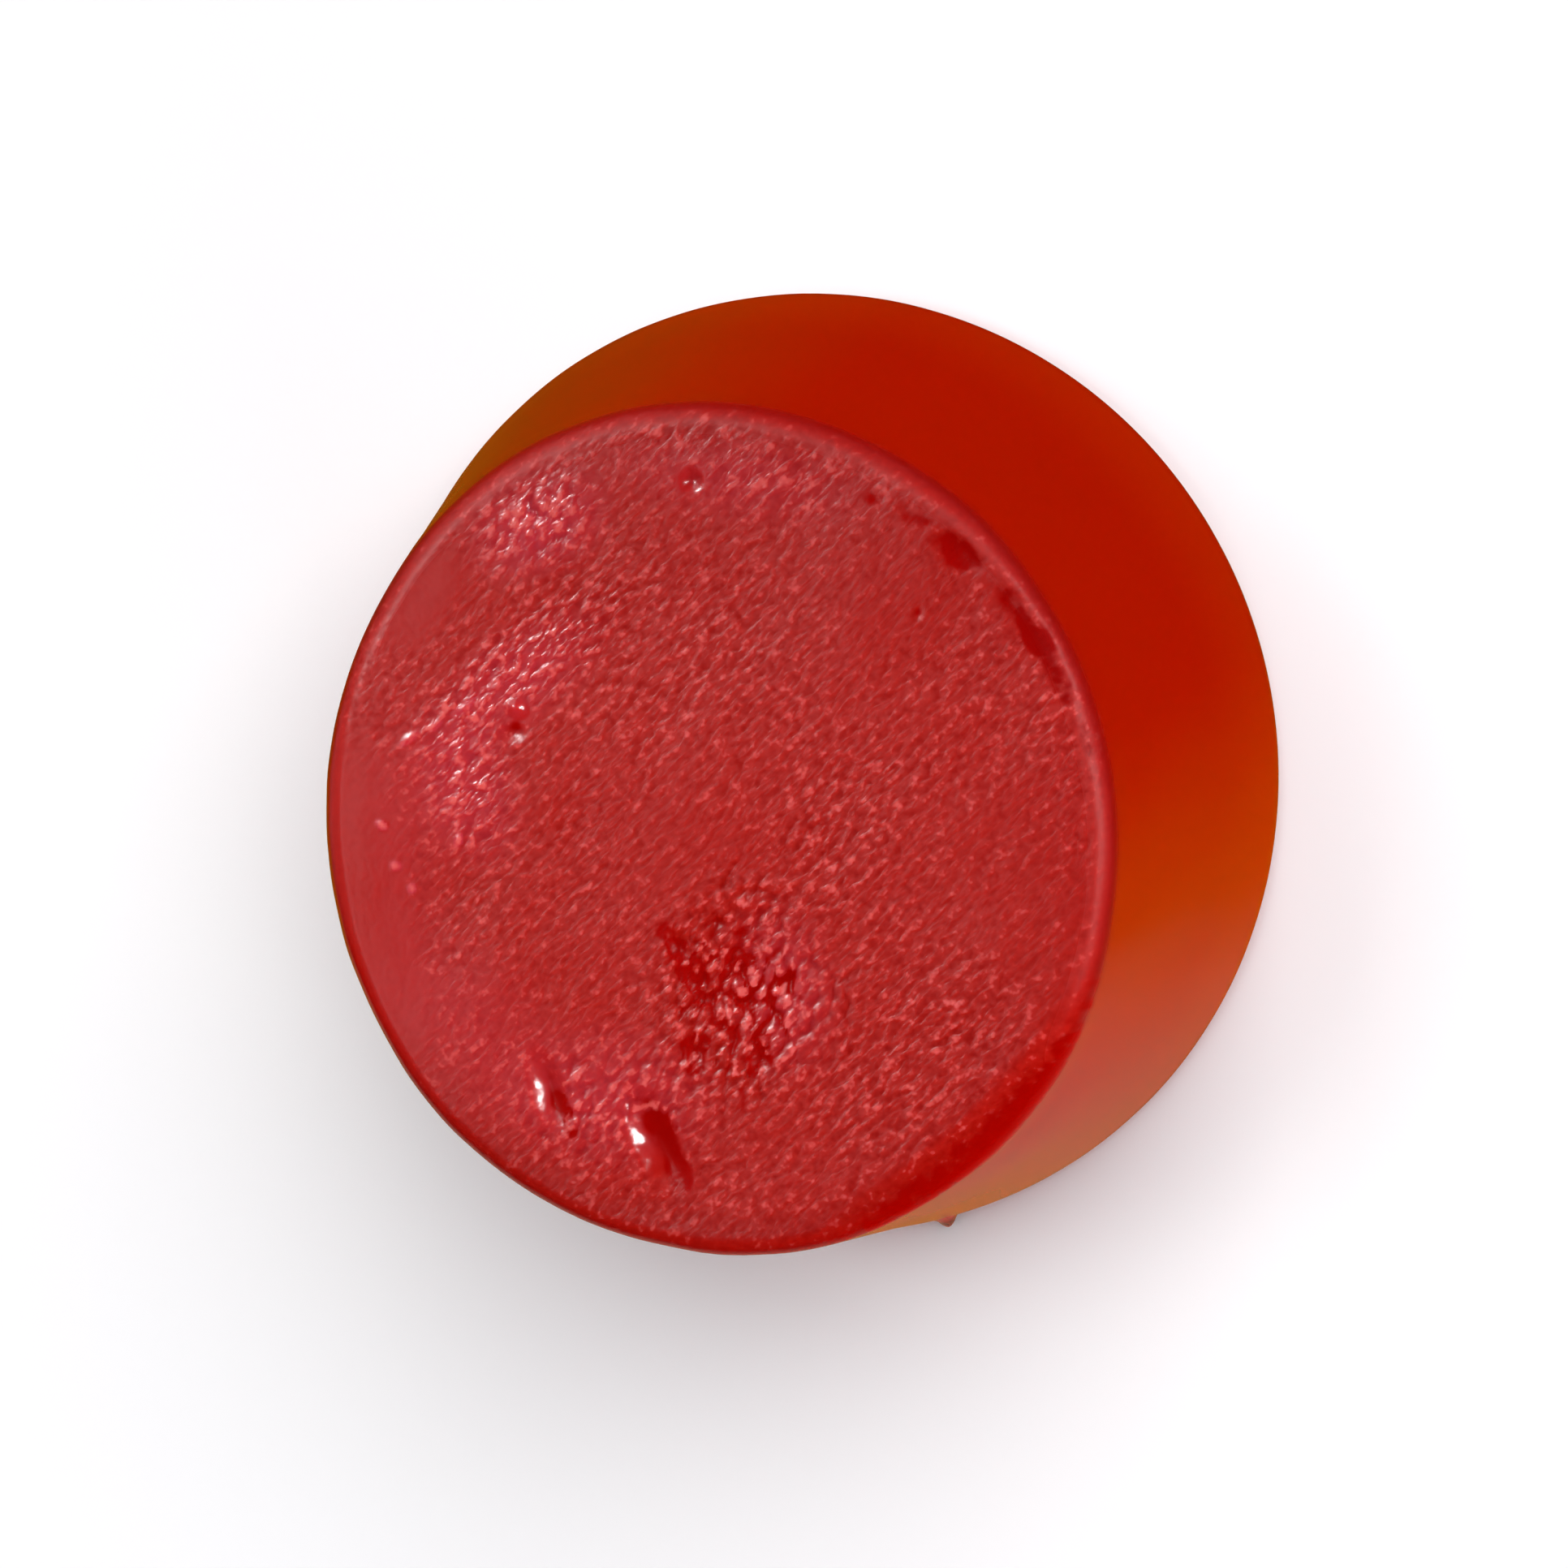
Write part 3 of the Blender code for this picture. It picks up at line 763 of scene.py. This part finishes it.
def gum_finish():
    """Set gelatine and starch gum, cast in starch, under a thin skin of wax.

    Light goes a little way into it, so it glows. The wax is glossy where the skin is smooth, satin where
    the starch has grained it, and matt at the turn of the edge.
    """
    material = bpy.data.materials.new("waxed_red_fruit_gum")
    material.use_nodes = True
    tree = material.node_tree
    shader = tree.nodes["Principled BSDF"]
    for name, value in GUM_BODY.items():
        shader.inputs[name].default_value = value
    place = add(tree, "ShaderNodeTexCoord").outputs["Object"]
    axes = add(tree, "ShaderNodeSeparateXYZ", [place])
    face, grained, lump, painted_sheen, deep, nub = (
        add(tree, "ShaderNodeAttribute", attribute_name=name).outputs["Fac"] for name in SKIN_ATTRIBUTES
    )

    # The starch mould's print: short fine ridges, which run with the grain, over a finer mottle
    turned = add(
        tree,
        "ShaderNodeMapping",
        {"Vector": place, "Rotation": (0.0, 0.0, PRINT_TURN), "Scale": PRINT_SIZE},
        vector_type="TEXTURE",
    )
    print_inputs = {"Vector": turned, "Scale": 1.0, "Detail": 1.6, "Distortion": 0.15}
    print_noise = add(tree, "ShaderNodeTexNoise", print_inputs)
    ridge = add(tree, "ShaderNodeMapRange", [print_noise, *RIDGE_SPREAD], **SMOOTH)
    mottle = add(tree, "ShaderNodeTexNoise", {"Vector": place, "Scale": 1 / MOTTLE_SIZE, "Detail": 1.0})
    mottled = add(tree, "ShaderNodeMath", [mottle, face], operation="MULTIPLY")
    mottled = add(tree, "ShaderNodeMath", [mottled, MOTTLE_SHARE], operation="MULTIPLY")
    print_rise = add(tree, "ShaderNodeMath", [ridge, grained, mottled], operation="MULTIPLY_ADD")
    bump = add(tree, "ShaderNodeBump", {"Strength": 1.0, "Distance": PRINT_HEIGHT, "Height": print_rise})

    # The face is painted paler on its ridges and lumps and deeper red between them: partly the print's own
    # colour, partly painted light and shade on its relief. The places of painted sheen are painted paler
    # and pinker, and flecks of painted light lie on the highest ridges
    tone_and_shade = add(tree, "ShaderNodeMapRange", [print_noise, *TONE_SPREAD, -1.0, 1.0])
    toned = add(tree, "ShaderNodeMath", [grained, TONED_GRAIN_LIMIT], operation="MINIMUM")
    tone_and_shade = add(tree, "ShaderNodeMath", [tone_and_shade, toned], operation="MULTIPLY")
    fine_tone = add(tree, "ShaderNodeMapRange", [mottle, *MOTTLE_SPREAD, -MOTTLE_TONE, MOTTLE_TONE])
    fine_share = add(tree, "ShaderNodeMapRange", [grained, *MOTTLE_BY_GRAIN])
    fine_tone = add(tree, "ShaderNodeMath", [fine_tone, fine_share], operation="MULTIPLY")
    tone_and_shade = add(tree, "ShaderNodeMath", [tone_and_shade, RIDGE_LIGHT_AND_SHADE, fine_tone], operation="MULTIPLY_ADD")
    tone_and_shade = add(tree, "ShaderNodeMath", [tone_and_shade, lump], operation="ADD")
    tone_and_shade = add(tree, "ShaderNodeMath", [painted_sheen, PAINTED_SHEEN_TONE, tone_and_shade], operation="MULTIPLY_ADD")
    tone_and_shade = add(tree, "ShaderNodeMapRange", [tone_and_shade, -1.0, 1.0])
    painted_fleck = add(tree, "ShaderNodeMapRange", [tone_and_shade, *PAINTED_FLECK_TONES])
    painted_sheen_share = add(tree, "ShaderNodeMath", [painted_sheen, PAINTED_SHEEN_SHARE], operation="MULTIPLY")
    painted_sheen_share = add(tree, "ShaderNodeMath", [painted_sheen_share, PAINTED_SHEEN_LIMIT], operation="MINIMUM")
    face_colour_and_painted_light = add(tree, "ShaderNodeMix", [tone_and_shade, linear(FACE_DARK_AND_SHADE), linear(FACE_RED_AND_LIGHT)], data_type="RGBA")
    face_colour_and_painted_light = add(tree, "ShaderNodeMix", [painted_sheen_share, face_colour_and_painted_light, linear(PAINTED_SHEEN_PINK)], data_type="RGBA")
    face_colour_and_painted_light = add(tree, "ShaderNodeMix", [painted_fleck, face_colour_and_painted_light, linear(FLECK_PAINTED_LIGHT)], data_type="RGBA")

    # Painted glow: the wall is painted more orange towards its back edge, where light through the thinning
    # gum would shine
    low = add(tree, "ShaderNodeMapRange", [axes.outputs["Z"], 0.0, PAINTED_FOOT_GLOW_HEIGHT, 1.0, 0.0], **SMOOTH)
    wall_ends = [linear(WALL_RED), linear(WALL_FOOT_PAINTED_GLOW)]
    wall_red_and_glow = add(tree, "ShaderNodeMix", [low, *wall_ends], data_type="RGBA")
    colour = add(tree, "ShaderNodeMix", [face, wall_red_and_glow, face_colour_and_painted_light], data_type="RGBA")

    # Painted shade: the turn of the edge is painted darker, where light leaves the gum on two sides, and so
    # are the lower side of the border, the top of the face and the rim at the right
    unstretched = (1 / (1 - FACE_OVAL_SHARE), 1 / (1 + FACE_OVAL_SHARE), 0.0)
    level = add(tree, "ShaderNodeVectorMath", [place, unstretched], operation="MULTIPLY")
    out = add(tree, "ShaderNodeVectorMath", [level], operation="LENGTH")
    border = add(tree, "ShaderNodeMapRange", [out, *BORDER_RADII], **SMOOTH)
    off_face = add(tree, "ShaderNodeMath", [1.0, face], operation="SUBTRACT")
    painted_darkening = add(tree, "ShaderNodeMath", [face, off_face], operation="MULTIPLY")
    painted_darkening = add(tree, "ShaderNodeMath", [painted_darkening, PAINTED_DARKENING["turn"]], operation="MULTIPLY")
    low_side = add(tree, "ShaderNodeMapRange", [axes.outputs["Y"], *LOW_SIDE, 0.0, PAINTED_DARKENING["low side"]])
    painted_darkening = add(tree, "ShaderNodeMath", [border, low_side, painted_darkening], operation="MULTIPLY_ADD")
    top_side = add(tree, "ShaderNodeMapRange", [axes.outputs["Y"], *TOP_SIDE, 0.0, PAINTED_DARKENING["top side"]])
    painted_darkening = add(tree, "ShaderNodeMath", [top_side, face, painted_darkening], operation="MULTIPLY_ADD")
    slant_inputs = [axes.outputs["X"], RIGHT_SLANT, axes.outputs["Y"]]
    slant = add(tree, "ShaderNodeMath", slant_inputs, operation="MULTIPLY_ADD")
    right_side = add(tree, "ShaderNodeMapRange", [slant, *RIGHT_SIDE])
    rim = add(tree, "ShaderNodeMapRange", [out, *RIM_RADII])
    rim = add(tree, "ShaderNodeMath", [rim, right_side], operation="MULTIPLY")
    rim = add(tree, "ShaderNodeMath", [rim, face], operation="MULTIPLY")
    painted_darkening = add(tree, "ShaderNodeMath", [rim, PAINTED_DARKENING["right rim"], painted_darkening], operation="MULTIPLY_ADD")
    colour = add(tree, "ShaderNodeMix", [painted_darkening, colour, linear(PAINTED_EDGE_SHADE)], data_type="RGBA")

    # Painted shade in the pits, dents and hollows and on the worn shoulder, out of which the lumps stand
    between = add(tree, "ShaderNodeMath", [lump, -LUMP_OUT_OF_DEEP_SHADE, 1.0], operation="MULTIPLY_ADD")
    deep = add(tree, "ShaderNodeMath", [deep, between], operation="MULTIPLY")
    deep = add(tree, "ShaderNodeMapRange", [deep, *DEEP_SHADE_SPREAD], **SMOOTH)
    deep_ends = [linear(DEEP_SHADE_RED), linear(DEEP_SHADE_EDGE_RED)]
    deep_red = add(tree, "ShaderNodeMix", [border, *deep_ends], data_type="RGBA")
    colour = add(tree, "ShaderNodeMix", [deep, colour, deep_red], data_type="RGBA")
    # The nub on the back edge is coloured dark brown
    nub_brown = add(tree, "ShaderNodeMapRange", [nub, *NUB_BROWN_SPREAD])
    colour = add(tree, "ShaderNodeMix", [nub_brown, colour, linear(NUB_BROWN)], data_type="RGBA")

    # The wax mirrors less in the valleys and least where deep shade is painted
    gloss = add(tree, "ShaderNodeMapRange", [tone_and_shade, *GLOSS_TONES, GLOSS["valley"], GLOSS["ridge"]])
    gloss = add(tree, "ShaderNodeMix", [face, GLOSS["wall"], gloss], data_type="FLOAT")
    gloss = add(tree, "ShaderNodeMix", [rim, gloss, GLOSS["rim"]], data_type="FLOAT")
    gloss = add(tree, "ShaderNodeMix", [deep, gloss, GLOSS["deep"]], data_type="FLOAT")
    skin_ends = [ROUGHNESS["smooth"], ROUGHNESS["grained"]]
    roughness = add(tree, "ShaderNodeMapRange", [grained, *ROUGHENING_GRAIN, *skin_ends])
    roughness = add(tree, "ShaderNodeMix", [painted_sheen, roughness, ROUGHNESS["painted_sheen"]], data_type="FLOAT")
    roughness = add(tree, "ShaderNodeMix", [face, ROUGHNESS["wall"], roughness], data_type="FLOAT")
    roughness = add(tree, "ShaderNodeMix", [rim, roughness, ROUGHNESS["rim"]], data_type="FLOAT")

    tree.links.new(bump.outputs["Normal"], shader.inputs["Normal"])
    tree.links.new(colour.outputs[2], shader.inputs["Base Color"])
    tree.links.new(gloss.outputs[0], shader.inputs["Specular IOR Level"])
    tree.links.new(roughness.outputs[0], shader.inputs["Roughness"])
    return material


def floor_finish():
    """Matt white card, which shows the gum's soft shadow and mirrors nothing."""
    material = bpy.data.materials.new("matt_white_card")
    material.use_nodes = True
    shader = material.node_tree.nodes["Principled BSDF"]
    shader.inputs["Base Color"].default_value = linear(CARD_WHITE)
    shader.inputs["Roughness"].default_value = 0.9
    shader.inputs["Specular IOR Level"].default_value = 0.2
    return material


# Stage, light and camera


def lay_floor():
    """A wide pale floor, which lights the gum but isn't mirrored in its wall."""
    bpy.ops.mesh.primitive_plane_add(size=FLOOR_SIZE)
    floor = bpy.context.object
    floor.name = "floor"
    floor.data.materials.append(floor_finish())
    floor.visible_glossy = False


def direction_of(tilt, turn):
    """The unit vector that leans tilt degrees from +Z, towards turn degrees from +X."""
    lean, way = math.radians(tilt), math.radians(turn)
    return Vector((math.sin(lean) * math.cos(way), math.sin(lean) * math.sin(way), math.cos(lean)))


def aimed(direction, up):
    """The turn that makes a camera or a lamp look back along direction, with up at the top."""
    right = up.cross(direction).normalized()
    top = direction.cross(right)
    return Matrix((right, top, direction)).transposed().to_4x4()


def hang_lamp(name, tilt, turn, distance, width, height, power):
    """A soft lamp that points at the middle of the gum, with its height in the upright plane through it."""
    light = bpy.data.lights.new(name, "AREA")
    light.shape = "RECTANGLE"
    light.size = width
    light.size_y = height
    light.energy = power
    lamp = bpy.data.objects.new(name, light)
    direction = direction_of(tilt, turn)
    target = Vector((0.0, 0.0, THICKNESS / 2))
    stand = Matrix.Translation(target + direction * distance)
    lamp.matrix_world = stand @ aimed(direction, Vector((0, 0, 1)))
    bpy.context.scene.collection.objects.link(lamp)
    return lamp


def light_studio():
    """Hangs the lamps in a dim room.

    The key lights the gum from beyond the top of the photo. A panel at the upper left and a wide sheen
    lie as a glow on the face, two small lamps give the dents and pits their highlights, and a low strip
    lights the foot of the wall.
    """
    for name, settings in LAMPS.items():
        lamp = hang_lamp(name, *settings)
        lamp.visible_glossy = name not in NOT_MIRRORED
        lamp.visible_diffuse = name not in ONLY_MIRRORED
    world = bpy.data.worlds.new("studio_room")
    world.use_nodes = True
    tree = world.node_tree
    background = tree.nodes["Background"]
    way = add(tree, "ShaderNodeSeparateXYZ", [add(tree, "ShaderNodeTexCoord").outputs["Generated"]])
    x, y, z = way.outputs
    room = {
        name: add(tree, "ShaderNodeMapRange", [way.outputs[axis], *ends], interpolation_type=fade)
        for name, (axis, *ends, fade) in ROOM_PARTS.items()
    }

    # A pale ceiling at the left, which ends towards the lower edge of the photo and comes down low
    left = add(tree, "ShaderNodeMath", [room["left"], CEILING_POWER], operation="POWER")
    left = add(tree, "ShaderNodeMath", [left, room["far left"]], operation="MULTIPLY")
    above = add(tree, "ShaderNodeMath", [x, CEILING_SLANT, z], operation="MULTIPLY_ADD")
    high = add(tree, "ShaderNodeMapRange", [above, *CEILING_HEIGHTS], **SMOOTH)
    high = add(tree, "ShaderNodeMath", [high, left], operation="MULTIPLY")
    ceiling = add(tree, "ShaderNodeMath", [high, room["back"]], operation="MULTIPLY")
    # A dim pale wall at the right, which the lip of the face mirrors
    right = add(tree, "ShaderNodeMath", [y, RIGHT_WAY[1]], operation="MULTIPLY")
    right = add(tree, "ShaderNodeMath", [x, RIGHT_WAY[0], right], operation="MULTIPLY_ADD")
    right = add(tree, "ShaderNodeMapRange", [right, *RIGHT_WALL], **SMOOTH)
    ceiling = add(tree, "ShaderNodeMath", [right, room["over floor"], ceiling], operation="MULTIPLY_ADD")
    # The warm ground, which the wall of the gum mirrors, paler and pinker to the front
    near = add(tree, "ShaderNodeMath", [room["near"], room["left ground"]], operation="ADD")
    ground = add(tree, "ShaderNodeMath", [near, room["ground"]], operation="MULTIPLY")
    strength = add(tree, "ShaderNodeMath", [ceiling, ground], operation="ADD")
    seen = add(tree, "ShaderNodeLightPath").outputs["Is Camera Ray"]
    strength = add(tree, "ShaderNodeMix", [seen, strength, SEEN_STRENGTH], data_type="FLOAT")
    warm_ends = [linear(GROUND_AMBER), linear(GROUND_PINK)]
    warm = add(tree, "ShaderNodeMix", [room["near pink"], *warm_ends], data_type="RGBA")
    cool_ends = [linear(ROOM_WHITE), linear(ROOM_VIOLET)]
    cool = add(tree, "ShaderNodeMix", [right, *cool_ends], data_type="RGBA")
    colour = add(tree, "ShaderNodeMix", [room["ground"], cool, warm], data_type="RGBA")
    tree.links.new(strength.outputs[0], background.inputs["Strength"])
    tree.links.new(colour.outputs[2], background.inputs["Color"])
    bpy.context.scene.world = world


def set_camera():
    """Looks down on the face from close by, as in the photo, where the wall shows at the upper right."""
    camera_data = bpy.data.cameras.new("photo_view")
    camera = bpy.data.objects.new("photo_view", camera_data)
    direction = direction_of(VIEW_TILT, VIEW_TURN)
    stand = Matrix.Translation(VIEW_MIDDLE + direction * VIEW_DISTANCE)
    camera.matrix_world = stand @ aimed(direction, Vector((0, 1, 0)))
    camera_data.lens = camera_data.sensor_width * VIEW_DISTANCE * GUM_IN_FRAME / BACK_DIAMETER
    camera_data.clip_start = MM
    bpy.context.scene.collection.objects.link(camera)
    bpy.context.scene.camera = camera


def main():
    gum = cast_gum(gum_finish())
    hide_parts(NODE)
    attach(gum, "root")
    lay_floor()
    light_studio()
    set_camera()
    bpy.context.scene.view_settings.view_transform = "Standard"


main()
